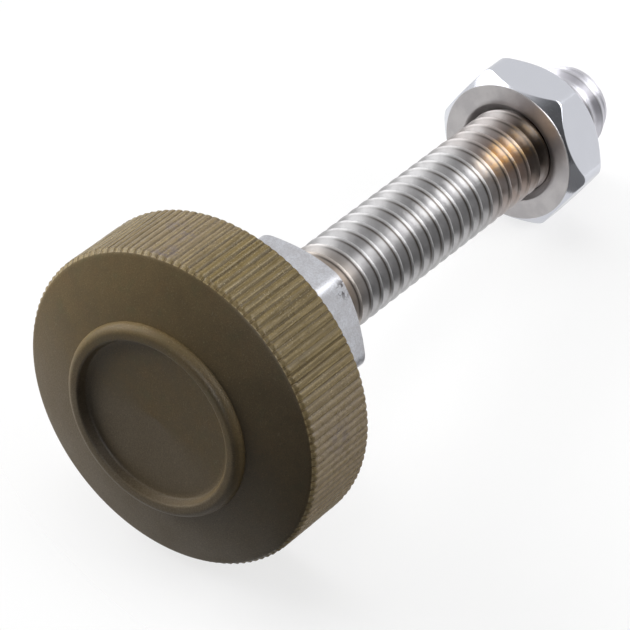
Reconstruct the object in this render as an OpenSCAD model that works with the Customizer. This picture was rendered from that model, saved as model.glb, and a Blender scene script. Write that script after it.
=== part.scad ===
// Hold-down screw: a ribbed moulded knob with a hex collar set into its back,
// a threaded stud screwed into the collar, and a thin hex lock nut near its end.
// It lies on a surface, on the rim of the knob and on one flat of the nut.

/* [Knob] */
// Diameter over the ribs
knob_d = 26.9; // [24:0.1:36]
// Length of the ribbed rim along the axis
rim_len = 6.55; // [5:0.05:12]
// Number of ribs round the rim
rib_count = 120; // [60:4:144]
// Depth of the grooves between the ribs
rib_depth = 0.15; // [0.1:0.05:0.4]
// Share of the rib pitch that is flat crest
rib_crest = 0.6; // [0.3:0.02:0.7]
// Share of the rib pitch that is groove floor
rib_floor = 0.1; // [0.08:0.02:0.26]
// Height of the domed face, from the rim edge to the foot of the ring
dome_rise = 1.8; // [0.8:0.05:2.6]
// Slope of the domed face at the foot of the ring, in degrees
dome_slope = 12; // [6:1:14]
// Width of the small bevel between the dome and the ribs
edge_bevel = 0.3; // [0.1:0.05:0.6]

/* [Ring and sunk disc] */
// Diameter of the ring at its outer foot
ring_foot_d = 16.4; // [15:0.1:18]
// Width of the ring, from its foot to the wall of the sunk disc
ring_w = 1.15; // [0.8:0.05:1.6]
// Height of the ring above its foot
ring_rise = 0.85; // [0.4:0.05:1.2]
// Depth of the sunk disc below the top of the ring
disc_depth = 0.8; // [0.3:0.05:1.4]
// Draft of the wall of the sunk disc, in degrees
disc_draft = 30; // [5:1:40]
// Radius on the outside of the ring
ring_round = 0.7; // [0.4:0.05:0.75]
// Width of the small bevel at the top of the disc's wall
wall_bevel = 0.12; // [0.05:0.01:0.15]

/* [Hex collar] */
// Width of the collar across its flats
collar_af = 12.55; // [12.4:0.05:15]
// Length of the collar outside the knob
collar_reach = 9.5; // [5:0.1:20]
// Length of the collar sunk into the knob
collar_sunk = 4; // [3:0.1:5]
// Diameter of the flat end face of the collar
collar_face_d = 11.7; // [10.8:0.1:12.3]
// Turn of the collar about the axis, away from the flats of the nut, in degrees
collar_turn = 3.4; // [0:0.2:60]
// Clearance round the collar in its pocket
pocket_gap = 0.05; // [0.02:0.01:0.1]
// How far the six corners of the collar and of the nut fall short of sharp
corner_cut = 0.18; // [0.1:0.02:0.26]

/* [Stud] */
// Outer diameter of the thread
stud_d = 7.7; // [6.5:0.05:8.3]
// Threads to the inch
threads_per_inch = 18; // [16:1:20]
// Length of the stud outside the collar
stud_reach = 40; // [36:0.1:60]
// Length of the stud inside the collar
stud_sunk = 8; // [5:0.1:9]
// Length of the tapered lead at each end of the stud
lead_len = 1.45; // [0.8:0.05:2]
// Diameter of the stud's end faces
stud_end_d = 6.5; // [5:0.1:6.5]
// Turn of the thread about the axis, in degrees
thread_turn = 25; // [0:5:355]
// Clearance round the stud in the collar
tap_gap = 0.05; // [0.02:0.01:0.1]

/* [Lock nut] */
// Width of the nut across its flats
nut_af = 12.55; // [12.4:0.05:15]
// Thickness of the nut
nut_t = 4.5; // [4:0.1:7]
// Distance from the collar to the nut
nut_place = 29.7; // [16:0.1:31]
// Clearance between the nut and the crests of the thread
nut_gap = 0.06; // [0.04:0.01:0.1]
// Diameter of the countersinks at both ends of the nut's bore
sink_d = 8.9; // [8.6:0.1:9.6]
// Diameter of the flat end faces of the nut
nut_face_d = 11.8; // [10.8:0.1:12.3]

/* [Hidden] */

// Distances along the axis, from the rim's front edge towards the free end
collar_foot = rim_len - collar_sunk;
collar_end = rim_len + collar_reach;
stud_foot = collar_end - stud_sunk;
stud_end = collar_end + stud_reach;
nut_near = collar_end + nut_place;
nut_far = nut_near + nut_t;

knob_r = knob_d / 2;
root_r = knob_r - rib_depth;
groove_run = 0.15;
corner_slope = 30;
seg = 96;

// Face of the knob: an arc from the foot of the ring to the bevel, falling more
// steeply towards the rim
ring_foot_r = ring_foot_d / 2;
bevel_r = root_r - groove_run;
dome_chord = atan((dome_rise - edge_bevel) / (bevel_r - ring_foot_r));
dome_sweep = 2 * (dome_chord - dome_slope);
dome_r = norm([bevel_r - ring_foot_r, dome_rise - edge_bevel]) / (2 * sin(dome_sweep / 2));
dome_steps = 5;
dome = [for (i = [0:dome_steps])
    let (a = dome_slope + dome_sweep * i / dome_steps)
    [ring_foot_r + dome_r * (sin(a) - sin(dome_slope)),
     -dome_rise + dome_r * (cos(dome_slope) - cos(a))]];

// Ring: a half-round bead that ends at the wall of the sunk disc
ring_top = dome_rise + ring_rise;
wall_r = ring_foot_r - ring_w;
disc_r = wall_r - disc_depth * tan(disc_draft);
bead_steps = 6;
bead = [for (i = [0:bead_steps])
    let (a = 90 * i / bead_steps)
    [ring_foot_r - ring_round * (1 - sin(a)), -ring_top + ring_rise * (1 - cos(a))]];
knob_outline = concat(
    [[0, collar_foot], [0, -ring_top + disc_depth], [disc_r, -ring_top + disc_depth],
     [wall_r, -ring_top + wall_bevel], [wall_r + wall_bevel, -ring_top]],
    bead, dome,
    [[knob_r, 0], [knob_r, rim_len], [0, rim_len]]);

// Pose at rest: the back edge of the rim and the far edge of one flat of the nut
// touch the surface, so the axis dips towards the nut
nut_touch = nut_far - (nut_af - nut_face_d) / 2 * tan(corner_slope);
dip = atan((knob_r - nut_af / 2) / (nut_touch - rim_len));
lift = knob_r * cos(dip) + rim_len * sin(dip);
low_x = min([for (p = knob_outline) p[1] * cos(dip) - p[0] * sin(dip)]);
high_x = stud_end * cos(dip) + stud_end_d / 2 * sin(dip);

// Puts a shape drawn along Z, with its underside towards +X, into the pose at rest
module at_rest() {
    translate([-(low_x + high_x) / 2, 0, lift]) rotate([0, 90 + dip, 0]) children();
}

// Outline of the ribbed rim: a flat crest, a groove floor and sloping sides
module rib_outline() {
    pitch = 360 / rib_count;
    marks = [[-rib_crest, 0], [rib_crest, 0], [1 - rib_floor, 1], [1 + rib_floor, 1]];
    polygon([for (i = [0:rib_count - 1]) for (m = marks)
        let (a = (i + m[0] / 2) * pitch, r = m[1] == 0 ? knob_r : root_r)
        [r * cos(a), r * sin(a)]]);
}

module hexagon(af) circle(d = af / cos(30), $fn = 6);

// Hexagon prism from z0 to z1 with blunt corners, which are turned off to the face
// diameter at the far end only or at both ends
module hex_body(af, face_d, z0, z1, both) {
    face_r = face_d / 2;
    wide_r = af / 2 / cos(30) - corner_cut;
    reach = (wide_r - face_r) * tan(corner_slope);
    intersection() {
        translate([0, 0, z0]) linear_extrude(z1 - z0) rotate(30) hexagon(af);
        rotate_extrude($fn = seg) polygon([[0, z0], [both ? face_r : wide_r, z0],
            each [if (both) [wide_r, z0 + reach]], [wide_r, z1 - reach], [face_r, z1], [0, z1]]);
    }
}

module knob() {
    color([0.36, 0.31, 0.2]) at_rest() difference() {
        intersection() {
            translate([0, 0, -ring_top]) linear_extrude(ring_top + rim_len) rib_outline();
            rotate_extrude($fn = seg) polygon(knob_outline);
        }
        translate([0, 0, collar_foot]) linear_extrude(collar_sunk + 1)
            rotate(30 + collar_turn) hexagon(collar_af + 2 * pocket_gap);
    }
}

module collar() {
    color([0.68, 0.69, 0.72]) at_rest() difference() {
        rotate(collar_turn) hex_body(collar_af, collar_face_d, collar_foot, collar_end, false);
        translate([0, 0, stud_foot]) cylinder(h = stud_sunk + 1, d = stud_d + 2 * tap_gap, $fn = seg);
    }
}

// Right-hand thread of one start, as one closed skin. Each step round the axis has
// four points: the two edges of the crest and the two edges of the root. Points
// past an end are held on its face, and the lead draws them in to the end diameter.
module thread(z0, z1) {
    pitch = 25.4 / threads_per_inch;
    crest_r = stud_d / 2;
    depth = 0.61343 * pitch;
    steps = 24;
    flank = depth * tan(30);
    crest = pitch / 8;
    marks = [[0, 0], [flank, 1], [flank + crest, 1], [2 * flank + crest, 0], [pitch, 0]];
    count = steps * ceil((z1 - z0) / pitch + 1);
    function height(s, m) = min(z1, max(z0, z0 - pitch + pitch * s / steps + m[0]));
    function lead(z) = min(1, (z - z0) / lead_len, (z1 - z) / lead_len);
    function radius(z, m) =
        let (full = crest_r - (1 - m[1]) * depth)
        stud_end_d / 2 + (full - stud_end_d / 2) * lead(z);
    rows = [for (s = [0:count]) [for (m = marks)
        let (z = height(s, m), r = radius(z, m), a = 360 * (s % steps) / steps)
        [r * cos(a), r * sin(a), z]]];
    points = [for (row = rows) each row];
    side = [for (s = [0:count - 1]) for (j = [0:3])
        let (a = 5 * s + j, b = a + 5, c = b + 1, d = a + 1)
        each [if (points[b][2] != points[c][2]) [a, c, b],
              if (points[a][2] != points[d][2]) [a, d, c]]];
    foot = [for (s = [0:steps - 1]) 5 * s];
    head = [for (s = [0:steps - 1]) 5 * (count - s) + 4];
    polyhedron(points, concat([foot], side, [head]));
}

module stud() {
    color([0.74, 0.74, 0.75]) at_rest() rotate(thread_turn) thread(stud_foot, stud_end);
}

module nut() {
    bore_r = stud_d / 2 + nut_gap;
    sink = sink_d / 2 - bore_r;
    color([0.72, 0.73, 0.77]) at_rest() difference() {
        hex_body(nut_af, nut_face_d, nut_near, nut_far, true);
        translate([0, 0, nut_near - 1]) cylinder(h = nut_t + 2, r = bore_r, $fn = seg);
        translate([0, 0, nut_near]) cylinder(h = sink, r1 = sink_d / 2, r2 = bore_r, $fn = seg);
        translate([0, 0, nut_far - sink]) cylinder(h = sink, r1 = bore_r, r2 = sink_d / 2, $fn = seg);
    }
}

knob();
collar();
stud();
nut();
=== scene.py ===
"""Hold-down screw: ribbed knob, hex collar, threaded stud and thin hex lock nut.

Every piece is built in millimetres round the screw's own axis (x down, y sideways,
t along the axis from the rim's front edge), then laid in the pose that the CAD has.
"""
import math
import bmesh
import bpy
import numpy as np
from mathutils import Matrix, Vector, noise


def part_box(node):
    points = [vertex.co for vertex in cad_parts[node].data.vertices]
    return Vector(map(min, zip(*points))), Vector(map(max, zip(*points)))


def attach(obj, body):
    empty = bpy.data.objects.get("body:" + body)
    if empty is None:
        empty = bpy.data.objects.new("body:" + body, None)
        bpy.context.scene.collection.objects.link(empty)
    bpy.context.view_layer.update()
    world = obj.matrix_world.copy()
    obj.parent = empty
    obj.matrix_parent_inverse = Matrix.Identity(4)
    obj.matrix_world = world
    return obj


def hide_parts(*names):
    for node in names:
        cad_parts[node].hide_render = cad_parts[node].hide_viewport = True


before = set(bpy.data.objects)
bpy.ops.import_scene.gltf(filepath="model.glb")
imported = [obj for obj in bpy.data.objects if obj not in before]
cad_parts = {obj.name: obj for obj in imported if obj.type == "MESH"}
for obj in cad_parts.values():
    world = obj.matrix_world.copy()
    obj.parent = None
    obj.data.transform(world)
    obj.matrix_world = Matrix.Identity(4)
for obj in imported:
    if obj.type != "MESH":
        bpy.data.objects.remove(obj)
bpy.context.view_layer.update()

# ---------------------------------------------------------------- sizes, in mm
MM = 0.001
KNOB_D, RIM_LEN, RIB_COUNT, RIB_DEPTH = 26.9, 6.55, 120, 0.15
RIB_CREST, RIB_FLOOR = 0.60, 0.10
DOME_RISE, DOME_SLOPE, EDGE_BEVEL, GROOVE_RUN = 1.8, 12.0, 0.3, 0.15
RING_FOOT_D, RING_W, RING_RISE, RING_ROUND = 16.4, 1.15, 0.85, 0.7
DISC_DEPTH, DISC_DRAFT = 0.8, 30.0
COLLAR_AF, COLLAR_REACH, COLLAR_SUNK, COLLAR_FACE_D = 12.55, 9.5, 4.0, 11.7
COLLAR_TURN, POCKET_GAP, TAP_GAP = 3.4, 0.05, 0.05
STUD_D, PITCH, STUD_REACH, STUD_SUNK = 7.7, 25.4 / 18, 40.0, 8.0
LEAD_LEN, STUD_END_D, THREAD_TURN = 1.45, 6.5, 25.0
NUT_AF, NUT_T, NUT_PLACE = 12.55, 4.5, 29.7
SINK_D, NUT_FACE_D = 8.9, 11.8
CORNER_SLOPE, CORNER_CUT = 30.0, 0.18
NUT_SLOPE = 47.0          # the nut's corners are turned more steeply than the collar's

KNOB_R = KNOB_D / 2
ROOT_R = KNOB_R - RIB_DEPTH
COLLAR_FOOT = RIM_LEN - COLLAR_SUNK
COLLAR_END = RIM_LEN + COLLAR_REACH
STUD_FOOT = COLLAR_END - STUD_SUNK
STUD_END = COLLAR_END + STUD_REACH
NUT_NEAR = COLLAR_END + NUT_PLACE
NUT_FAR = NUT_NEAR + NUT_T
RING_TOP = DOME_RISE + RING_RISE
THREAD_DEPTH = 0.61343 * PITCH            # depth of a 60 degree outer thread

# ---------------------------------------------------------------- pose at rest
NUT_TOUCH = NUT_FAR - (NUT_AF - NUT_FACE_D) / 2 * math.tan(math.radians(CORNER_SLOPE))
DIP = math.atan((KNOB_R - NUT_AF / 2) / (NUT_TOUCH - RIM_LEN))
LIFT = KNOB_R * math.cos(DIP) + RIM_LEN * math.sin(DIP)
KNOB_LO, KNOB_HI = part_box("knob")
STUD_LO, STUD_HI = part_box("stud")
AXIS_X = STUD_HI.x / MM - STUD_END * math.cos(DIP) - STUD_END_D / 2 * math.sin(DIP)


def lay(points):
    """Screw coordinates in mm (x down, y sideways, t along the axis) to the row frame in m."""
    p = np.asarray(points, float)
    c, s = math.cos(DIP), math.sin(DIP)
    return np.stack([AXIS_X + p[..., 2] * c - p[..., 0] * s,
                     p[..., 1],
                     LIFT - p[..., 2] * s - p[..., 0] * c], -1) * MM


# ---------------------------------------------------------------- camera
LENS, SENSOR = 224.2, 36.0                # in mm
CAM_PLACE = (-0.18350, -0.12889, 0.22772) # in m, like the clip distances
CAM_LOOK = (0.56977, 0.41802, -0.70755)
CLIP_NEAR, CLIP_FAR = 0.01, 10


def make_camera():
    data = bpy.data.cameras.new("camera")
    data.lens, data.sensor_width = LENS, SENSOR
    data.clip_start, data.clip_end = CLIP_NEAR, CLIP_FAR
    cam = bpy.data.objects.new("camera", data)
    bpy.context.scene.collection.objects.link(cam)
    cam.location = CAM_PLACE
    cam.rotation_mode = "QUATERNION"
    cam.rotation_quaternion = Vector(CAM_LOOK).to_track_quat("-Z", "Y")
    bpy.context.scene.camera = cam


make_camera()

# ---------------------------------------------------------------- mesh helpers
FLAT_COS = 0.9999         # a face whose normal is this near the axis belongs to a flat end


class Skin:
    """Collects vertices in screw coordinates and faces, then makes one object."""

    def __init__(self):
        self.points, self.faces = [], []

    def ring(self, rows):
        start = len(self.points)
        self.points.extend(np.asarray(rows, float).tolist())
        return list(range(start, start + len(rows)))

    def band(self, a, b):
        """Quads between two rings with the same number of points."""
        n = len(a)
        for i in range(n):
            j = (i + 1) % n
            self.faces.append((a[i], a[j], b[j], b[i]))

    def zip(self, a, b):
        """Triangles between two rings that may differ in count; both start near one angle."""
        na, nb, i, j = len(a), len(b), 0, 0
        while i < na or j < nb:
            if j >= nb or (i < na and (i + 1) * nb <= (j + 1) * na):
                self.faces.append((a[i % na], a[(i + 1) % na], b[j % nb]))
                i += 1
            else:
                self.faces.append((a[i % na], b[(j + 1) % nb], b[j % nb]))
                j += 1

    def cap(self, a, centre, flip=False):
        start = len(self.points)
        self.points.append(list(centre))
        for i in range(len(a)):
            j = (i + 1) % len(a)
            self.faces.append((a[j], a[i], start) if flip else (a[i], a[j], start))

    def make(self, name, material, smooth, extra=None):
        pts = np.asarray(self.points, float)
        mesh = bpy.data.meshes.new(name)
        mesh.from_pydata(lay(pts).tolist(), [], self.faces)
        for key, values in (extra or {}).items():
            layer = mesh.attributes.new(key, "FLOAT", "POINT")
            layer.data.foreach_set("value", np.asarray(values, float))
        return finish_mesh(mesh, name, material, smooth, pts)


def finish_mesh(mesh, name, material, smooth, pts=None, flat_ends=False):
    """Makes the object; edges of more than smooth degrees stay sharp, and so do those of flat ends."""
    bm = bmesh.new()
    bm.from_mesh(mesh)
    if pts is not None:
        layer = bm.verts.layers.float_vector.new("screw")
        for v, p in zip(bm.verts, pts):
            v[layer] = p
    bmesh.ops.recalc_face_normals(bm, faces=bm.faces)
    for f in bm.faces:
        f.smooth = True
    limit = math.radians(smooth)
    for e in bm.edges:
        e.smooth = not (e.is_manifold and e.calc_face_angle(0.0) > limit)
    if flat_ends:
        axis = Vector((math.cos(DIP), 0, -math.sin(DIP)))
        for e in bm.edges:
            e.smooth = e.smooth and len({abs(f.normal.dot(axis)) > FLAT_COS for f in e.link_faces}) == 1
    bm.to_mesh(mesh)
    bm.free()
    obj = bpy.data.objects.new(name, mesh)
    bpy.context.scene.collection.objects.link(obj)
    mesh.materials.append(material)
    return obj


def polar(r, a, t):
    """Screw coordinates of radius r, angle a in radians and place t along the axis."""
    r, a, t = np.broadcast_arrays(np.asarray(r, float), np.asarray(a, float), np.asarray(t, float))
    return np.stack([r * np.cos(a), r * np.sin(a), t], -1)


def rough(points, scale, seed, octaves=3):
    """Fractal noise, about -1 to 1, at each point; scale is the size of a lump in mm."""
    return np.array([noise.fractal(Vector(p) / scale + Vector((seed, -seed, seed * 0.5)), 0.6, 2.0, octaves)
                     for p in points])


HEX_ROUND = CORNER_CUT / (1 / math.cos(math.pi / 6) - 1)   # radius of a hexagon's blunt corners
EDGE = 0.07                                               # rounding of the turned edges
CORNER_STEPS, FLAT_STEPS = 11, 29                         # points on each corner and on each flat


def hex_touch(af, corner):
    """Angle from a corner at which its rounding meets the flat."""
    return math.pi / 6 - math.atan2((af / 2 - corner) * math.tan(math.pi / 6), af / 2)


def hex_radius(a, af, corner=HEX_ROUND):
    """Radius of a hexagon with rounded corners; a flat faces angle 0."""
    half = af / 2
    f = (np.asarray(a) + math.pi / 6) % (math.pi / 3) - math.pi / 6
    flat = half / np.cos(f)
    c = (half - corner) / math.cos(math.pi / 6)
    g = math.pi / 6 - np.abs(f)
    arc = c * np.cos(g) + np.sqrt(np.maximum(corner ** 2 - (c * np.sin(g)) ** 2, 0))
    return np.where(g < hex_touch(af, corner), arc, flat)


def hex_angles(af):
    """Angles round a hexagon: even along the flats and close together on the corners."""
    edge = math.pi / 6 - hex_touch(af, HEX_ROUND)
    f = np.concatenate([np.linspace(-edge, edge, FLAT_STEPS),
                        np.linspace(edge, math.pi / 3 - edge, CORNER_STEPS)[1:-1]])
    return np.concatenate([f + k * math.pi / 3 for k in range(6)])


def hex_end(a, r, face, end, way, slope=CORNER_SLOPE):
    """Rows from a hexagon's sides over its turned corners to its flat end face.

    way is 1 where the end looks towards the free end of the stud, and -1 where it looks back.
    """
    tan = math.tan(math.radians(slope))
    step = EDGE / math.hypot(1, tan)
    top = end - way * (r - face) * tan
    out = (r - step, top + way * step * tan)
    inn = (face + step, end - way * step * tan)
    rows = [(r, top - way * 2 * EDGE), (r, top - way * EDGE),
            (r - step / 4, top - way * (EDGE - step * tan) / 4), out,
            (out[0] - step, out[1] + way * step * tan), (inn[0] + step, inn[1] - way * step * tan), inn,
            (face + (step - EDGE) / 4, end - way * step * tan / 4), (face - EDGE, end),
            (face - 2 * EDGE, end)]
    return [polar(q, a, t) for q, t in rows]


# ---------------------------------------------------------------- knob
RIM_STEPS, RIM_ROWS = 12, 21              # points round each rib, and rows of them along the rim
RIM_PLAIN = 0.3                           # those rows keep this far from the rim's ends
BEVEL_SHARES = (0.75, 0.45, 0.15)         # rows on the bevel, as shares of its width
FACE_COUNT, DOME_ROWS = 480, 22           # points round the face, and rows from the rim to the ring
RIB_SEED = 11
WIDE_SPREAD, DEEP_SPREAD = 0.05, 0.16     # unevenness of the ribs' widths and depths, as shares
DEEP_SHARE, DEEP_LIMITS = 0.85, (0.6, 1.25)           # a usual groove's share of RIB_DEPTH, and its limits
DEEP_SPARE = 0.005                        # no groove comes nearer than this to RIB_DEPTH, in mm
STREAK_STRETCH, STREAK_SIZE, STREAK_SEED = (1, 1, 0.16), 0.45, 3.1    # noise drawn out along the ribs
DENT_STRETCH, DENT_SIZE, DENT_SEED = (1, 1, 0.6), 0.55, 7.7
CROWN = 0.045                             # fall of a crest from its middle to its edge, in mm
GRAIN, GRAIN_SPAN = 0.012, 0.014          # unevenness along the crests, in mm
DENT_FROM, DENT_DEPTH = 0.38, 0.10        # noise level at which a dent starts, and its depth per 1 above
# the pale worn line on each crest's edge also carries a painted highlight on the crest's lit side
WORN_IN, WORN_WIDTH = 0.08, 0.13          # the worn line lies inside the crest's edge, in half pitches
FAR_SIDE = 0.35                           # wear of a crest's other edge
WEAR_LEAST, WEAR_SPREAD, WEAR_STREAK = 0.25, 0.6, 0.5
FRONT_TURN, FRONT_FALL = 0.06, 0.9        # in front of this place the rim falls away, by this much a mm
BACK_TURN, BACK_FALL = 0.08, 0.6          # the same for this much of its back
GROOVE_SHARE = 0.55                       # share of a groove's depth left on these edges
LIP = 0.03                                # rounding where the rim's bevel meets the face
RING_TRIM = 0.02                          # keeps the ring's top inside the CAD's box
WALL_IN, WALL_REACH, WALL_FALL = 0.10, 0.22, 0.16     # rounding of the ring's inner edge
DISC_OUT = 0.10                           # the wall is a little steeper than in the CAD
BACK_RIM = 0.35                           # plain band between the ribs and the back
POCKET_ROUND = 0.3


def rib_drop(a, t):
    """Depth of the rim's surface below its crests, and the pale line on each crest's edge, worn and with a
    painted highlight, at angle a.
    """
    rng = np.random.default_rng(RIB_SEED)
    wide = rng.normal(0, WIDE_SPREAD, RIB_COUNT)
    deep = rng.normal(1, DEEP_SPREAD, RIB_COUNT)
    worn = rng.uniform(0, 1, RIB_COUNT)
    turn = a / (2 * math.pi) * RIB_COUNT
    k = np.floor(turn + 0.5).astype(int) % RIB_COUNT
    p = (turn + 0.5) % 1.0 - 0.5
    x = np.abs(p) * 2
    crest = RIB_CREST + wide[k]
    side = np.clip((x - crest) / (1 - RIB_FLOOR - crest), 0, 1)
    side = side * side * (3 - 2 * side)
    base = polar(KNOB_R, a, t)
    streak = rough(base * np.array(STREAK_STRETCH), STREAK_SIZE, STREAK_SEED)
    dent = np.clip(rough(base * np.array(DENT_STRETCH), DENT_SIZE, DENT_SEED, 2) - DENT_FROM, 0, 1)
    crown = CROWN * np.clip(x / crest, 0, 1) ** 2
    drop = crown + (np.clip(deep[k], *DEEP_LIMITS) * RIB_DEPTH * DEEP_SHARE - crown) * side
    drop = drop + (GRAIN + GRAIN_SPAN * streak) * (1 - side) + DENT_DEPTH * dent * (1 - side)
    edge = np.exp(-((x - crest + WORN_IN) / WORN_WIDTH) ** 2) * np.where(p > 0, 1.0, FAR_SIDE)
    wear_and_glint = edge * np.clip(WEAR_LEAST + worn[k] * WEAR_SPREAD + WEAR_STREAK * streak, 0, 1)
    return np.clip(drop, 0, RIB_DEPTH - DEEP_SPARE), wear_and_glint


def dome_points():
    """Outline of the face from the bevel at the rim to the foot of the ring."""
    foot, edge = RING_FOOT_D / 2, ROOT_R - GROOVE_RUN
    run, rise = edge - foot, DOME_RISE - EDGE_BEVEL
    sweep = 2 * (math.atan2(rise, run) - math.radians(DOME_SLOPE))
    big = math.hypot(run, rise) / (2 * math.sin(sweep / 2))
    a = math.radians(DOME_SLOPE) + sweep * np.linspace(1, 0, DOME_ROWS)
    r = foot + big * (np.sin(a) - math.sin(math.radians(DOME_SLOPE)))
    t = -DOME_RISE + big * (math.cos(math.radians(DOME_SLOPE)) - np.cos(a))
    return list(zip(r, t))


def ring_points():
    """Outline of the ring and the sunk disc, from the ring's foot to the centre."""
    foot, wall = RING_FOOT_D / 2, RING_FOOT_D / 2 - RING_W
    top_t = -RING_TOP + RING_TRIM
    pts = [(foot - RING_ROUND * (1 - math.sin(a)), top_t + (RING_RISE - RING_TRIM) * (1 - math.cos(a)))
           for a in np.radians(np.linspace(88, 0, 12))]
    top = [(wall - WALL_IN + WALL_REACH * (1 - math.sin(a)), top_t + WALL_FALL * (1 - math.cos(a)))
           for a in np.radians(np.linspace(0, 80, 7))]
    disc = wall - DISC_DEPTH * math.tan(math.radians(DISC_DRAFT)) + DISC_OUT
    low = -RING_TOP + DISC_DEPTH
    foot_round = [(disc + 0.10, low - 0.16), (disc + 0.03, low - 0.05), (disc - 0.08, low)]
    inner = [(r, low) for r in np.linspace(disc - 0.4, 0.3, 10)]
    return pts + top + foot_round + inner


def make_knob(material):
    skin = Skin()
    n = RIB_COUNT * RIM_STEPS
    a = 2 * math.pi * np.arange(n) / n
    f = 2 * math.pi * np.arange(FACE_COUNT) / FACE_COUNT
    rows, wear_and_glint = [], []
    places = np.concatenate([[-EDGE_BEVEL * share for share in BEVEL_SHARES], [FRONT_TURN],
                             np.linspace(RIM_PLAIN, RIM_LEN - RIM_PLAIN, RIM_ROWS),
                             [RIM_LEN - BACK_TURN, RIM_LEN]])
    for t in places:
        drop, worn = rib_drop(a, t)
        cut = max(0.0, FRONT_TURN - t) * FRONT_FALL + max(0.0, t - (RIM_LEN - BACK_TURN)) * BACK_FALL
        r = KNOB_R - np.maximum(drop, cut + GROOVE_SHARE * drop)
        rows.append(skin.ring(polar(r, a, t)))
        wear_and_glint.append(worn)
    for lo, hi in zip(rows, rows[1:]):
        skin.band(hi, lo)
    edge = dome_points()
    last = skin.ring(polar(edge[0][0] + LIP, f, edge[0][1] + LIP))
    skin.zip(rows[0], last)
    for r, t in edge + ring_points():
        row = skin.ring(polar(r, f, t))
        skin.band(last, row)
        last = row
    skin.cap(last, (0, 0, -RING_TOP + DISC_DEPTH))
    # back of the knob and the pocket for the collar
    plain = skin.ring(polar(ROOT_R - BACK_RIM, f, RIM_LEN))
    skin.zip(rows[-1], plain)
    pocket = hex_radius(f - math.radians(COLLAR_TURN), COLLAR_AF + 2 * POCKET_GAP, POCKET_ROUND)
    mouth = skin.ring(polar(pocket, f, RIM_LEN))
    bottom = skin.ring(polar(pocket, f, COLLAR_FOOT))
    skin.band(plain, mouth)
    skin.band(mouth, bottom)
    skin.cap(bottom, (0, 0, COLLAR_FOOT))
    worn = np.zeros(len(skin.points))
    worn[:n * len(rows)] = np.concatenate(wear_and_glint)
    # place across the rib, from -0.5 to 0.5, with 0 on its crest
    angle = np.arctan2(*np.asarray(skin.points)[:, 1::-1].T)
    place = (angle / (2 * math.pi) * RIB_COUNT + 0.5) % 1.0 - 0.5
    return skin.make("knob_body", material, smooth=40, extra={"wear_and_glint": worn, "rib": place})


# ---------------------------------------------------------------- collar
COLLAR_ROWS, COLLAR_PLAIN = 12, 1.3       # rows on the sides, which end this far before the turned end
MOUTH, MOUTH_DROP = 0.3, 0.04             # rounding of the tapped hole's mouth


def make_collar(material):
    skin = Skin()
    local = hex_angles(COLLAR_AF)
    a = local + math.radians(COLLAR_TURN)
    r = hex_radius(local, COLLAR_AF)
    hole = STUD_D / 2 + TAP_GAP
    rows = [polar(r, a, t) for t in np.linspace(COLLAR_FOOT, COLLAR_END - COLLAR_PLAIN, COLLAR_ROWS)]
    rows += hex_end(a, r, COLLAR_FACE_D / 2, COLLAR_END, 1)
    rows += [polar(q, a, COLLAR_END) for q in np.linspace(COLLAR_FACE_D / 2 - 0.3, hole + 0.4, 5)]
    rows += [polar(q, a, t) for q, t in ((hole + 0.25, COLLAR_END - MOUTH_DROP), (hole, COLLAR_END - MOUTH),
                                         (hole, STUD_FOOT))]
    rings = [skin.ring(row) for row in rows]
    for lo, hi in zip(rings, rings[1:]):
        skin.band(lo, hi)
    skin.cap(rings[0], (0, 0, COLLAR_FOOT), flip=True)
    skin.cap(rings[-1], (0, 0, STUD_FOOT))
    return skin.make("collar_body", material, smooth=28)


# ---------------------------------------------------------------- thread
THREAD_STEPS = 84         # points round one turn
CREST_SHARE, ROUNDING = 0.125, 0.13       # flat crest, and the width of the rounding, in pitches
SMOOTH_END, SMOOTH_RUN = 0.45, 0.8        # share by which the threads beyond the nut are filled
CREST_SHIFT = THREAD_DEPTH * math.tan(math.radians(30)) + PITCH / 16


def thread_drop(p):
    """Depth below the crest, in mm, at p pitches from the crest's middle."""
    fine = np.linspace(-1.5, 1.5, 6001)
    x = np.abs((fine + 0.5) % 1.0 - 0.5)
    flank = THREAD_DEPTH * math.tan(math.radians(30)) / PITCH
    d = np.clip((x - CREST_SHARE / 2) / flank, 0, 1) * THREAD_DEPTH
    width = int(ROUNDING / (fine[1] - fine[0]))
    d = np.convolve(d, np.ones(width) / width, mode="same")
    d -= d[np.abs(fine) < 0.5].min()
    return np.interp((np.asarray(p) + 0.5) % 1.0 - 0.5, fine, d)


def crest_place(a):
    """Place along the axis of one crest at angle a, in radians; others are whole pitches away."""
    return STUD_FOOT - PITCH + PITCH * (a - math.radians(THREAD_TURN)) / (2 * math.pi) + CREST_SHIFT


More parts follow.
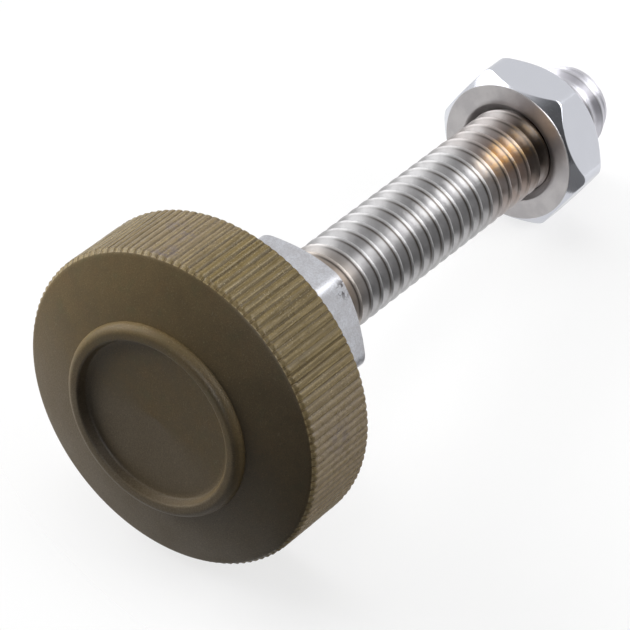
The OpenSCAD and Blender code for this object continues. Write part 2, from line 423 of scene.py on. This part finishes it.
def make_stud(material):
    # places across one turn of the thread, in pitches from its crest
    marks = np.concatenate([np.linspace(-0.5, -0.36, 4), np.linspace(-0.3, -0.16, 4),
                            np.linspace(-0.11, 0.11, 8), np.linspace(0.16, 0.3, 4), [0.36, 0.41, 0.455]])
    k, n = len(marks), THREAD_STEPS
    drop = thread_drop(marks)
    turns = math.ceil((STUD_END - STUD_FOOT) / PITCH) + 3
    s = np.arange(turns * n)
    a = 2 * math.pi * s / n
    t = crest_place(math.radians(THREAD_TURN)) - PITCH + PITCH * s[:, None] / n + marks[None, :] * PITCH
    worn = 1 - SMOOTH_END * np.clip((t - NUT_FAR) / SMOOTH_RUN, 0, 1)
    r = STUD_D / 2 - drop[None, :] * worn
    end = np.minimum(t - STUD_FOOT, STUD_END - t)
    lead = STUD_END_D / 2 + (STUD_D - STUD_END_D) / 2 * np.clip(end / LEAD_LEN, -0.2, 1)
    r = np.minimum(r, lead)
    aa = a[:, None] + math.radians(THREAD_TURN) + 0 * t
    pts = polar(r, aa, t).reshape(-1, 3)
    faces = []
    total = turns * n
    for i in range(total - 1):
        for j in range(k):
            if j + 1 < k:
                faces.append((i * k + j, (i + 1) * k + j, (i + 1) * k + j + 1, i * k + j + 1))
            elif i + n + 1 < total:
                faces.append((i * k + j, (i + 1) * k + j, (i + n + 1) * k, (i + n) * k))
    mesh = bpy.data.meshes.new("stud_body")
    mesh.from_pydata(pts.tolist(), [], faces)
    phase = mesh.attributes.new("phase", "FLOAT", "POINT")
    phase.data.foreach_set("value", np.tile(marks, turns * n))
    bm = bmesh.new()
    bm.from_mesh(mesh)
    for place, way in ((STUD_FOOT, -1), (STUD_END, 1)):
        cut = bmesh.ops.bisect_plane(bm, geom=bm.verts[:] + bm.edges[:] + bm.faces[:], dist=1e-6,
                                     plane_co=(0, 0, place), plane_no=(0, 0, way), clear_outer=True)
        edges = [e for e in cut["geom_cut"] if isinstance(e, bmesh.types.BMEdge)]
        bmesh.ops.edgenet_fill(bm, edges=edges)
    bmesh.ops.triangulate(bm, faces=[f for f in bm.faces if len(f.verts) > 4])
    layer = bm.verts.layers.float_vector.new("screw")
    for v in bm.verts:
        v[layer] = v.co
        v.co = lay(v.co)
    bm.to_mesh(mesh)
    bm.free()
    return finish_mesh(mesh, "stud_body", material, 50, flat_ends=True)


# ---------------------------------------------------------------- nut
NUT_SLACK, NUT_ROOM = 0.045, 0.05         # room round the stud's thread, in mm, and along it, in pitches
BORE_ROWS = 44


def bore_radius(a, t):
    """Radius of the nut's own thread, shallow enough to pass the filled threads of the stud's end."""
    p = (t - crest_place(a)) / PITCH
    d = np.minimum(thread_drop(p - NUT_ROOM), thread_drop(p + NUT_ROOM))
    return STUD_D / 2 - d * (1 - SMOOTH_END) + NUT_SLACK


def make_nut(material):
    skin = Skin()
    a = hex_angles(NUT_AF)
    r = hex_radius(a, NUT_AF)
    slopes = [math.tan(math.radians(slope)) for slope in (CORNER_SLOPE, NUT_SLOPE)]
    face = NUT_AF / 2 - (NUT_AF - NUT_FACE_D) / 2 * slopes[0] / slopes[1]
    inner = np.linspace(SINK_D / 2 + 0.03, face - 3 * EDGE, 5)
    near = hex_end(a, r, face, NUT_NEAR, -1, NUT_SLOPE)[::-1]
    far = hex_end(a, r, face, NUT_FAR, 1, NUT_SLOPE)
    rows = [polar(q, a, NUT_NEAR) for q in inner] + near + far + [polar(q, a, NUT_FAR) for q in inner[::-1]]
    # 0 on the flats, 1 on the turned corners, 2 on the end faces, and on to 3 inside the bore, where the
    # colour takes painted shade
    end_zone = [2, 2, 2, 1.5, 1, 1, 0.5, 0, 0, 0]
    zone = [2] * len(inner) + end_zone + end_zone[::-1] + [2] * len(inner)
    for t in np.concatenate([[NUT_FAR - 0.03], np.linspace(NUT_FAR - 0.1, NUT_NEAR + 0.1, BORE_ROWS),
                             [NUT_NEAR + 0.03]]):
        cone = SINK_D / 2 - min(NUT_FAR - t, t - NUT_NEAR)
        rows.append(polar(np.maximum(bore_radius(a, np.full_like(a, t)), cone), a, t))
        zone.append(2 + min(1.0, min(NUT_FAR - t, t - NUT_NEAR) / 1.2))
    rings = [skin.ring(row) for row in rows]
    for lo, hi in zip(rings, rings[1:] + rings[:1]):
        skin.band(lo, hi)
    return skin.make("nut_body", material, smooth=28, extra={"zone": np.repeat(zone, len(a))})


# ---------------------------------------------------------------- materials


class Nodes:
    """Short-hand for one material's node tree."""

    def __init__(self, name):
        self.mat = bpy.data.materials.new(name)
        self.mat.use_nodes = True
        self.tree = self.mat.node_tree
        self.shader = self.tree.nodes["Principled BSDF"]
        where = self.tree.nodes.new("ShaderNodeAttribute")
        where.attribute_name = "screw"
        self.where = where.outputs["Vector"]
        parts = self.tree.nodes.new("ShaderNodeSeparateXYZ")
        self.tree.links.new(self.where, parts.inputs[0])
        self.x, self.y, self.t = parts.outputs

    def put(self, socket, value):
        if isinstance(value, bpy.types.NodeSocket):
            self.tree.links.new(value, socket)
        else:
            socket.default_value = value

    def set(self, **values):
        for key, value in values.items():
            self.put(self.shader.inputs[key.replace("_", " ")], value)

    def math(self, kind, a, b=0.0):
        n = self.tree.nodes.new("ShaderNodeMath")
        n.operation = kind
        for s, v in zip(n.inputs, (a, b)):
            self.put(s, v)
        return n.outputs[0]

    def ramp(self, value, lo, hi, out_lo=0.0, out_hi=1.0):
        """out_lo where value is lo or beyond, going smoothly to out_hi at hi; lo may be the higher one."""
        n = self.tree.nodes.new("ShaderNodeMapRange")
        n.interpolation_type = "SMOOTHSTEP"
        for s, v in zip(n.inputs[:5], (value, lo, hi, out_lo, out_hi)):
            self.put(s, v)
        return n.outputs[0]

    def noise(self, scale, detail, rough, stretch=(1, 1, 1), offset=(0, 0, 0)):
        """Fractal noise of the given scale in lumps a mm; stretch multiplies it along x, y and the axis."""
        m = self.tree.nodes.new("ShaderNodeMapping")
        m.inputs["Scale"].default_value = stretch
        m.inputs["Location"].default_value = offset
        self.tree.links.new(self.where, m.inputs["Vector"])
        n = self.tree.nodes.new("ShaderNodeTexNoise")
        n.inputs["Scale"].default_value = scale
        n.inputs["Detail"].default_value = detail
        n.inputs["Roughness"].default_value = rough
        self.tree.links.new(m.outputs[0], n.inputs["Vector"])
        return n.outputs[0]

    def mix(self, factor, a, b):
        """Colour a where factor is 0 and b where it is 1."""
        n = self.tree.nodes.new("ShaderNodeMix")
        n.data_type = "RGBA"
        self.put(n.inputs["Factor"], factor)
        self.put(n.inputs["A"], a if isinstance(a, bpy.types.NodeSocket) else (*a, 1))
        self.put(n.inputs["B"], b if isinstance(b, bpy.types.NodeSocket) else (*b, 1))
        return n.outputs["Result"]

    def line(self, value, middle, half):
        """1 where value is at middle, falling to 0 half away on either side."""
        return self.ramp(self.math("ABSOLUTE", self.math("SUBTRACT", value, middle)), 0.0, half, 1.0, 0.0)

    def times(self, a, b):
        return self.math("MULTIPLY", a, b)

    def largest(self, values):
        most = values[0]
        for value in values[1:]:
            most = self.math("MAXIMUM", most, value)
        return most

    def radius(self):
        """Distance from the axis, in mm."""
        square = self.math("ADD", self.times(self.x, self.x), self.times(self.y, self.y))
        return self.math("POWER", square, 0.5)

    def facing(self, x, y):
        """Cosine of the angle round the axis from the direction x, y."""
        along = self.math("ADD", self.times(self.x, x), self.times(self.y, y))
        return self.math("DIVIDE", along, self.radius())

    def near(self, point, reach):
        """1 at a place in screw coordinates, falling to 0 at reach mm from it."""
        n = self.tree.nodes.new("ShaderNodeVectorMath")
        n.operation = "DISTANCE"
        self.tree.links.new(self.where, n.inputs[0])
        n.inputs[1].default_value = point
        return self.ramp(n.outputs["Value"], 0.0, reach, 1.0, 0.0)

    def vector(self, x, y, z):
        n = self.tree.nodes.new("ShaderNodeCombineXYZ")
        for s, v in zip(n.inputs, (x, y, z)):
            self.put(s, v)
        return n.outputs[0]

    def attribute(self, name):
        n = self.tree.nodes.new("ShaderNodeAttribute")
        n.attribute_name = name
        return n.outputs["Fac"]

    def bump(self, height, strength, distance):
        n = self.tree.nodes.new("ShaderNodeBump")
        n.inputs["Strength"].default_value = strength
        n.inputs["Distance"].default_value = distance
        self.put(n.inputs["Height"], height)
        return n.outputs[0]


def rgb(r, g, b):
    """Linear colour from 0-255 display values."""
    return tuple(((v / 255 + 0.055) / 1.055) ** 2.4 if v > 10 else v / 255 / 12.92 for v in (r, g, b))


def palette(colors):
    """Linear colours from a table of display values."""
    return {name: rgb(*values) for name, values in colors.items()}


KNOB_COLORS = {
    "face_deep": (106, 89, 55), "face_light": (121, 101, 64), "reddish": (124, 98, 60),
    "greenish": (104, 96, 60), "floor_sheen": (122, 107, 83), "grain": (88, 74, 47),
    "scratch": (160, 146, 118), "rib_deep": (96, 80, 42), "rib_light": (124, 106, 62),
    "groove": (66, 54, 32), "dust_and_sheen": (146, 131, 112), "rim_shade": (92, 76, 46),
    "edge": (184, 166, 124), "smudge": (112, 101, 98), "tooth": (158, 139, 98),
    "speck": (184, 168, 132), "pit": (66, 54, 34)}
KNOB_IOR = 1.42
TOOTH_LEN = 0.34                          # how far the ribs' colour runs out on their crests, in mm
# towards this first direction the face gets a painted sheen that stands in for the floor's reflection
FLOOR_SHEEN_FACE = (0.966, 0.259)               # directions round the axis, as x and y
# towards the first of these directions the rim gets dust with a painted sheen
# towards the last of these directions the rim gets painted shade
DUST_AND_SHEEN_RIM, DUST_BAND, SHADED_RIM = (0.115, -0.993), (-0.95, 0.31), (-0.7615, 0.648)
SCUFFED_HIGH, SCUFFED_LOW = (-0.93, -0.36), (-0.40, -0.92)
SMUDGES = (((-13.16, 2.53, 3.3), 1.6), ((-12.75, 4.12, 4.2), 1.3),        # place and reach, in mm
           ((-13.2, 2.3, 0.6), 2.0), ((-2.65, -13.1, 3.0), 2.0))


def knob_face(m, c, mottle, tint, grain):
    """Colour of the face: mottled, with a painted sheen of the floor towards the side that faces down, with
    grain and a few faint scratches.
    """
    color = m.mix(m.ramp(mottle, 0.3, 0.7), c["face_deep"], c["face_light"])
    color = m.mix(m.ramp(tint, 0.52, 0.75, 0.0, 0.5), color, c["reddish"])
    color = m.mix(m.ramp(tint, 0.46, 0.28, 0.0, 0.5), color, c["greenish"])
    # painted sheen: a greyer colour towards the face's lower side, standing in for the floor's reflection
    color = m.mix(m.ramp(m.facing(*FLOOR_SHEEN_FACE), -0.25, 0.65), color, c["floor_sheen"])
    color = m.mix(m.ramp(grain, 0.35, 0.65, 0.42, 0.0), color, c["grain"])
    scratch = m.line(m.noise(0.5, 2, 0.5, stretch=(1, 4, 1), offset=(7, 1, 3)), 0.5, 0.006)
    patchy = m.ramp(m.noise(1.1, 2, 0.5), 0.52, 0.60, 0.0, 0.30)
    return m.mix(m.times(scratch, patchy), color, c["scratch"])


def knob_ribs(m, c, fine, grain):
    """Colour of the ribs: painted shade in their grooves, pale worn edges with a painted highlight, a paler
    dusted side with a painted sheen, painted shade on another side, and smudges.
    """
    crest = m.ramp(m.math("SUBTRACT", KNOB_R, m.radius()), 0.02, 0.11, 1.0, 0.0)
    streak = m.noise(5.5, 4, 0.65, stretch=(1, 1, 0.07))
    color = m.mix(m.ramp(streak, 0.34, 0.66), c["rib_deep"], c["rib_light"])
    # painted shade: the grooves between the ribs are darkened
    color = m.mix(crest, m.mix(0.5, color, c["groove"]), color)
    # dust and painted sheen: a paler grey colour on two sides of the rim; on one of them it stands in for
    # the ribs' glints
    dust_and_sheen = m.math("ADD", m.ramp(m.facing(*DUST_AND_SHEEN_RIM), 0.70, 0.97, 0.0, 0.75),
                  m.ramp(m.facing(*DUST_BAND), 0.90, 0.99, 0.0, 0.45))
    color = m.mix(m.times(dust_and_sheen, m.ramp(fine, 0.30, 0.60, 0.35, 1.0)), color, c["dust_and_sheen"])
    # painted shade: the side of the rim that faces up towards the window lamp is darkened
    color = m.mix(m.ramp(m.facing(*SHADED_RIM), 0.93, 0.99, 0.0, 0.5), color, c["rim_shade"])
    worn = m.times(m.attribute("wear_and_glint"), m.ramp(grain, 0.30, 0.62, 0.3, 1.0))
    # pale line on each crest's edge: partly wear, partly a painted highlight on the lit side
    color = m.mix(worn, color, c["edge"])
    smudge = m.largest([m.near(place, reach) for place, reach in SMUDGES])
    smudge = m.times(smudge, m.ramp(m.noise(1.8, 3, 0.6), 0.42, 0.58))
    return m.mix(m.times(smudge, 0.75), color, c["smudge"])


def knob_material():
    """Worn olive-brown plastic."""
    m, c = Nodes("olive_plastic"), palette(KNOB_COLORS)
    mottle = m.noise(0.30, 5, 0.62)
    fine = m.noise(3.0, 5, 0.7)
    grain = m.noise(9.0, 3, 0.6)
    tint = m.noise(0.75, 3, 0.6, offset=(4, 9, 2))
    tooth = m.ramp(m.math("ABSOLUTE", m.attribute("rib")), 0.30, 0.40, 1.0, 0.0)
    reach = m.times(m.math("SUBTRACT", tooth, 1.0), TOOTH_LEN)
    on_rim = m.ramp(m.math("ADD", m.t, reach), -0.34, -0.24)
    color = m.mix(on_rim, knob_face(m, c, mottle, tint, grain), knob_ribs(m, c, fine, grain))
    front = m.times(m.times(on_rim, tooth), m.ramp(m.t, 0.10, -0.05))
    color = m.mix(m.times(front, m.ramp(fine, 0.30, 0.62, 0.35, 0.9)), color, c["tooth"])
    scuffed = m.largest([m.ramp(m.facing(*SCUFFED_HIGH), 0.90, 0.99),
                         m.ramp(m.facing(*SCUFFED_LOW), 0.93, 0.995)])
    scuffed = m.times(m.times(scuffed, on_rim), m.ramp(tint, 0.35, 0.60))
    speck = m.ramp(m.math("ADD", grain, m.times(scuffed, 0.035)), 0.64, 0.70)
    color = m.mix(m.times(speck, m.ramp(on_rim, 0.0, 1.0, 0.22, 0.70)), color, c["speck"])
    color = m.mix(m.ramp(grain, 0.33, 0.27, 0.0, 0.35), color, c["pit"])
    shine = m.math("ADD", m.times(on_rim, -0.22), m.ramp(mottle, 0.2, 0.8, 0.44, 0.56))
    height = m.math("ADD", fine, m.times(grain, 0.4))
    m.set(Base_Color=color, Roughness=shine, Normal=m.bump(height, 0.35, 0.00005))
    m.shader.inputs["IOR"].default_value = KNOB_IOR
    return m.mat


COLLAR_COLORS = {"deep": (204, 204, 208), "light": (220, 222, 228), "grit": (176, 174, 178),
                 "pit": (84, 76, 76)}
PITTED, PITTED_REACH = (-5.2, -4.5, 15.2), 1.3      # place of the pits, and how far they spread, in mm


def collar_material():
    """Plated steel with a fine grit and a few rusty pits on one corner."""
    m, c = Nodes("collar_steel"), palette(COLLAR_COLORS)
    grit = m.noise(6.0, 3, 0.75)
    blot = m.noise(0.9, 4, 0.6)
    color = m.mix(m.ramp(blot, 0.3, 0.7), c["deep"], c["light"])
    color = m.mix(m.ramp(grit, 0.35, 0.65), m.mix(0.5, color, c["grit"]), color)
    pits = m.times(m.near(PITTED, PITTED_REACH), m.ramp(m.noise(2.6, 2, 0.5), 0.48, 0.54))
    color = m.mix(pits, color, c["pit"])
    height = m.math("SUBTRACT", grit, m.times(pits, 2.0))
    m.set(Base_Color=color, Metallic=1.0, Roughness=m.ramp(grit, 0.25, 0.8, 0.32, 0.50),
          Normal=m.bump(height, 0.7, 0.00003))
    return m.mat


STUD_COLORS = {
    "deep": (196, 195, 196), "light": (212, 211, 212), "brown": (184, 168, 160), "gold": (216, 180, 132),
    "tan": (206, 188, 168), "warm": (196, 160, 112), "dirt_and_shade": (88, 80, 74), "end": (226, 225, 232),
    "line": (112, 104, 98), "spot": (70, 62, 60)}
STUD_ANISOTROPY = 0.9
STUD_FRONT, STUD_RIGHT, STUD_SHADE = (-0.823, -0.568), (-0.579, -0.815), (-0.712, -0.702)
STAIN_FROM, STAIN_FULL = 37.0, 41.5       # places along the axis, in mm
DIRT_SHADE_FROM, DIRT_SHADE_FULL = 42.5, 45.0
TAN_FROM, TAN_FULL = 21.5, 17.5
WARM_FROM, WARM_FULL = 18.2, 16.9
# painted dark reflection: a thin dark line on one side of each crest stands in for the crest's rounded edge
# mirroring the dark side of the room
LINE_PHASE, LINE_HALF = -0.125, 0.055     # dark line on one side of each crest, in pitches from it
LINE_FADE, LINE_NONE = 0.03, 0.005        # it fades out this far from the stud's flat end, in mm
# painted shadow: a dark spot near the end stands in for a small pit in shade
SPOT, SPOT_REACH = (-1.09, -3.69, 53.67), 0.60      # dark spot near the end, and its reach in mm


def stud_stains(m, c, color):
    """Brown and gold stains before the nut, a tan tint and a warmer one on the turns beside the collar, and
    a dark band against the nut that is partly dirty and partly painted shade.
    """
    front, right = m.facing(*STUD_FRONT), m.facing(*STUD_RIGHT)
    heat = m.noise(0.55, 4, 0.6, offset=(2, 5, 1))
    gold = m.noise(1.4, 3, 0.6, stretch=(1, 1, 0.6))
    golden = m.times(m.ramp(front, 0.88, 0.98), m.ramp(gold, 0.42, 0.58, 0.35, 1.0))
    stain = m.times(m.ramp(m.t, STAIN_FROM, STAIN_FULL), m.ramp(heat, 0.25, 0.55, 0.5, 1.0))
    stain = m.times(stain, m.ramp(right, 0.25, 0.85, 0.35, 1.0))
    color = m.mix(stain, color, m.mix(golden, c["brown"], c["gold"]))
    color = m.mix(m.times(m.ramp(m.t, TAN_FROM, TAN_FULL), 0.7), color, c["tan"])
    # a warmer tint on the turns beside the collar, stronger towards the front
    color = m.mix(m.times(m.ramp(m.t, WARM_FROM, WARM_FULL), m.ramp(front, 0.35, 0.8)), color, c["warm"])
    # the dark band against the nut is partly dirty and partly painted shade, heavier on the stud's shaded
    # side
    dirt_and_shade = m.times(m.ramp(m.t, DIRT_SHADE_FROM, DIRT_SHADE_FULL), m.ramp(right, 0.45, 0.9, 0.0, 0.85))
    return m.mix(dirt_and_shade, color, c["dirt_and_shade"])


def stud_material():
    """Dull zinc, turned round the axis: its gloss is drawn out along the axis. Along each crest runs a
    painted dark reflection, and near the end a painted shadow marks a small pit.
    """
    m, c = Nodes("stud_zinc"), palette(STUD_COLORS)
    grit = m.noise(5.0, 5, 0.7)
    blot = m.noise(0.6, 4, 0.65, stretch=(1, 1, 0.7))
    color = stud_stains(m, c, m.mix(m.ramp(blot, 0.3, 0.7), c["deep"], c["light"]))
    color = m.mix(m.ramp(m.t, NUT_FAR - 1, NUT_FAR), color, c["end"])
    # painted dark reflection along each crest, strongest on the stud's shaded side
    dark = m.line(m.attribute("phase"), LINE_PHASE, LINE_HALF)
    dark = m.times(dark, m.ramp(m.t, NUT_NEAR, NUT_FAR, 1.0, 0.3))
    dark = m.times(dark, m.ramp(m.facing(*STUD_SHADE), 0.40, 0.85, 0.15, 0.95))
    dark = m.times(dark, m.ramp(m.t, STUD_END - LINE_FADE, STUD_END - LINE_NONE, 1.0, 0.0))
    color = m.mix(dark, color, c["line"])
    # painted shadow of a small pit near the end
    spot = m.math("SUBTRACT", m.near(SPOT, SPOT_REACH), m.times(m.noise(3.0, 2, 0.5), 0.5))
    color = m.mix(m.ramp(spot, 0.0, 0.35), color, c["spot"])
    m.set(Base_Color=color, Metallic=1.0, Roughness=m.ramp(grit, 0.25, 0.8, 0.36, 0.46),
          Normal=m.bump(grit, 0.25, 0.00002), Tangent=m.vector(math.cos(DIP), 0, -math.sin(DIP)))
    m.shader.inputs["Anisotropic"].default_value = STUD_ANISOTROPY
    return m.mat


NUT_COLORS = {"deep": (222, 224, 232), "light": (228, 230, 238), "face_deep": (184, 181, 182),
              "face_light": (198, 195, 195), "bore": (130, 124, 120)}


def nut_material():
    """Bright zinc, duller on the end faces, with painted shade inside the bore."""
    m, c = Nodes("nut_zinc"), palette(NUT_COLORS)
    zone = m.attribute("zone")
    grit = m.noise(5.0, 5, 0.7)
    blot = m.noise(0.5, 4, 0.6)
    face = m.ramp(zone, 1.3, 1.8)
    color = m.mix(blot, c["deep"], c["light"])
    color = m.mix(face, color, m.mix(m.ramp(blot, 0.35, 0.65), c["face_deep"], c["face_light"]))
    # painted shade: the bore darkens towards its middle
    color = m.mix(m.ramp(zone, 2.3, 2.9), color, c["bore"])
    shine = m.math("ADD", m.ramp(grit, 0.25, 0.8, 0.13, 0.20), m.times(face, 0.20))
    m.set(Base_Color=color, Metallic=1.0, Roughness=shine, Normal=m.bump(grit, 0.1, 0.00001))
    return m.mat


# ---------------------------------------------------------------- floor and light
FLOOR_COLOR, FLOOR_ROUGH = (0.34, 0.34, 0.34, 1), 0.9
FLOOR_LIFT = 0.68                       # shown to camera and glass rays on top of the lit floor
MIRROR_LIFT = 0.53                      # the same for what the metal mirrors
FLOOR_CENTRE = (0.018, -0.010)
FLOOR_SOLID, FLOOR_GONE = 0.040, 0.066  # the floor melts into the white backdrop, in m
FLOOR_HALF = 0.08
DARK_SIDE = (-0.80, -0.50, 0.30)        # the unlit side of the room
DARK_LEVEL, LIGHT_LEVEL = 0.01, 0.50
DARK_FROM, DARK_TO = -0.10, 0.40        # cosine of the angle to the dark side
MIRROR_DARK, MIRROR_LIGHT = 0.06, 0.76  # the same for what the metal mirrors
MIRROR_FROM, MIRROR_TO = 0.30, 0.87
CARD_LOW, CARD_HIGH = (-0.045, -0.060), (0.022, -0.011)       # two corners, in m
CARD_LIFT, CARD_COLOR = 0.0002, (0.14, 0.14, 0.14, 1)
LAMP_AIM = (0, 0, 0.01)
# name, direction, distance and size in m, level (1 is white), lights surfaces, shows in their gloss
LAMPS = (("window", (-0.12, 0.857, 0.50), 0.60, (0.66, 0.44), 1.45, True, True),
         ("side", (-0.07, 0.93, 0.33), 0.60, (0.45, 0.40), 5.4, True, False),
         ("above", (0.33, 0.22, 0.92), 0.60, (0.40, 0.40), 2.2, True, False),
         ("right", (0.46, -0.78, 0.42), 0.60, (0.40, 0.40), 4.4, True, False),
         ("strip", (0.303, -0.559, 0.772), 0.50, (0.60, 0.31), 2.8, False, True),
         ("near", (-0.849, -0.240, 0.490), 0.50, (0.20, 0.18), 8.0, False, True))


def link(tree, a, b):
    tree.links.new(a, b)


def make_floor():
    (x, y), h = FLOOR_CENTRE, FLOOR_HALF
    mesh = bpy.data.meshes.new("floor")
    mesh.from_pydata([(-h, -h, 0), (h, -h, 0), (h, h, 0), (-h, h, 0)], [], [(0, 1, 2, 3)])
    floor = bpy.data.objects.new("floor", mesh)
    floor.location = (x, y, 0)
    bpy.context.scene.collection.objects.link(floor)
    mat = bpy.data.materials.new("floor_white")
    mat.use_nodes = True
    t = mat.node_tree
    s = t.nodes["Principled BSDF"]
    s.inputs["Base Color"].default_value = FLOOR_COLOR
    s.inputs["Roughness"].default_value = FLOOR_ROUGH
    s.inputs["Specular IOR Level"].default_value = 0.0
    s.inputs["Emission Color"].default_value = (1, 1, 1, 1)
    lp = t.nodes.new("ShaderNodeLightPath")
    total = None
    for name, share in (("Is Camera Ray", FLOOR_LIFT), ("Is Glossy Ray", MIRROR_LIFT),
                        ("Is Transmission Ray", FLOOR_LIFT)):
        part = t.nodes.new("ShaderNodeMath")
        part.operation = "MULTIPLY"
        link(t, lp.outputs[name], part.inputs[0])
        part.inputs[1].default_value = share
        if total:
            both = t.nodes.new("ShaderNodeMath")
            both.operation = "MAXIMUM"
            link(t, total, both.inputs[0])
            link(t, part.outputs[0], both.inputs[1])
            part = both
        total = part.outputs[0]
    link(t, total, s.inputs["Emission Strength"])
    place = t.nodes.new("ShaderNodeTexCoord")
    far = t.nodes.new("ShaderNodeVectorMath")
    far.operation = "LENGTH"
    link(t, place.outputs["Object"], far.inputs[0])
    fade = t.nodes.new("ShaderNodeMapRange")
    fade.interpolation_type = "SMOOTHSTEP"
    for key, v in (("From Min", FLOOR_SOLID), ("From Max", FLOOR_GONE), ("To Min", 1.0), ("To Max", 0.0)):
        fade.inputs[key].default_value = v
    link(t, far.outputs["Value"], fade.inputs["Value"])
    link(t, fade.outputs["Result"], s.inputs["Alpha"])
    mesh.materials.append(mat)


def lamp(name, way, far, size, level, diffuse, glossy):
    """Soft box of the given brightness (1 is white) in direction way, far metres off."""
    aim = Vector(LAMP_AIM)
    place = aim + Vector(way).normalized() * far
    data = bpy.data.lights.new(name, "AREA")
    data.shape = "RECTANGLE"
    data.size, data.size_y = size
    data.energy = level * math.pi * size[0] * size[1]
    obj = bpy.data.objects.new(name, data)
    bpy.context.scene.collection.objects.link(obj)
    obj.location = place
    obj.rotation_mode = "QUATERNION"
    obj.rotation_quaternion = (aim - place).to_track_quat("-Z", "Y")
    obj.visible_diffuse, obj.visible_glossy = diffuse, glossy


def make_card():
    """Dark card beside the screw, which only the metal's reflections show."""
    (x0, y0), (x1, y1) = CARD_LOW, CARD_HIGH
    mesh = bpy.data.meshes.new("dark_card")
    corners = [(x, y, CARD_LIFT) for x, y in ((x0, y0), (x1, y0), (x1, y1), (x0, y1))]
    mesh.from_pydata(corners, [], [(0, 1, 2, 3)])
    card = bpy.data.objects.new("dark_card", mesh)
    bpy.context.scene.collection.objects.link(card)
    mat = bpy.data.materials.new("card_black")
    mat.use_nodes = True
    mat.node_tree.nodes["Principled BSDF"].inputs["Base Color"].default_value = CARD_COLOR
    mesh.materials.append(mat)
    card.visible_camera = card.visible_diffuse = card.visible_shadow = False


def make_light():
    world = bpy.data.worlds.new("studio")
    bpy.context.scene.world = world
    world.use_nodes = True
    t = world.node_tree
    bg = t.nodes["Background"]
    way = t.nodes.new("ShaderNodeTexCoord")
    dot = t.nodes.new("ShaderNodeVectorMath")
    dot.operation = "DOT_PRODUCT"
    link(t, way.outputs["Generated"], dot.inputs[0])
    dot.inputs[1].default_value = Vector(DARK_SIDE).normalized()
    lp = t.nodes.new("ShaderNodeLightPath")
    levels = []
    for values in ((DARK_FROM, DARK_TO, LIGHT_LEVEL, DARK_LEVEL),
                   (MIRROR_FROM, MIRROR_TO, MIRROR_LIGHT, MIRROR_DARK)):
        level = t.nodes.new("ShaderNodeMapRange")
        level.interpolation_type = "SMOOTHSTEP"
        for key, v in zip(("From Min", "From Max", "To Min", "To Max"), values):
            level.inputs[key].default_value = v
        link(t, dot.outputs["Value"], level.inputs["Value"])
        levels.append(level.outputs["Result"])
    strength = levels[0]
    for ray, seen in (("Is Glossy Ray", levels[1]), ("Is Transmission Ray", 1.0), ("Is Camera Ray", 1.0)):
        pick = t.nodes.new("ShaderNodeMapRange")
        link(t, lp.outputs[ray], pick.inputs["Value"])
        link(t, strength, pick.inputs["To Min"])
        if isinstance(seen, float):
            pick.inputs["To Max"].default_value = seen
        else:
            link(t, seen, pick.inputs["To Max"])
        strength = pick.outputs["Result"]
    link(t, strength, bg.inputs["Strength"])
    bg.inputs["Color"].default_value = (1, 1, 1, 1)
    bpy.context.scene.view_settings.view_transform = "Standard"
    for values in LAMPS:
        lamp(*values)
    make_card()


make_floor()
make_light()

knob = make_knob(knob_material())
collar = make_collar(collar_material())
stud = make_stud(stud_material())
nut = make_nut(nut_material())
for piece, node, body in ((knob, "knob", "screw"), (collar, "collar", "screw"),
                          (stud, "stud", "screw"), (nut, "nut", "nut")):
    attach(piece, body)
    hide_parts(node)
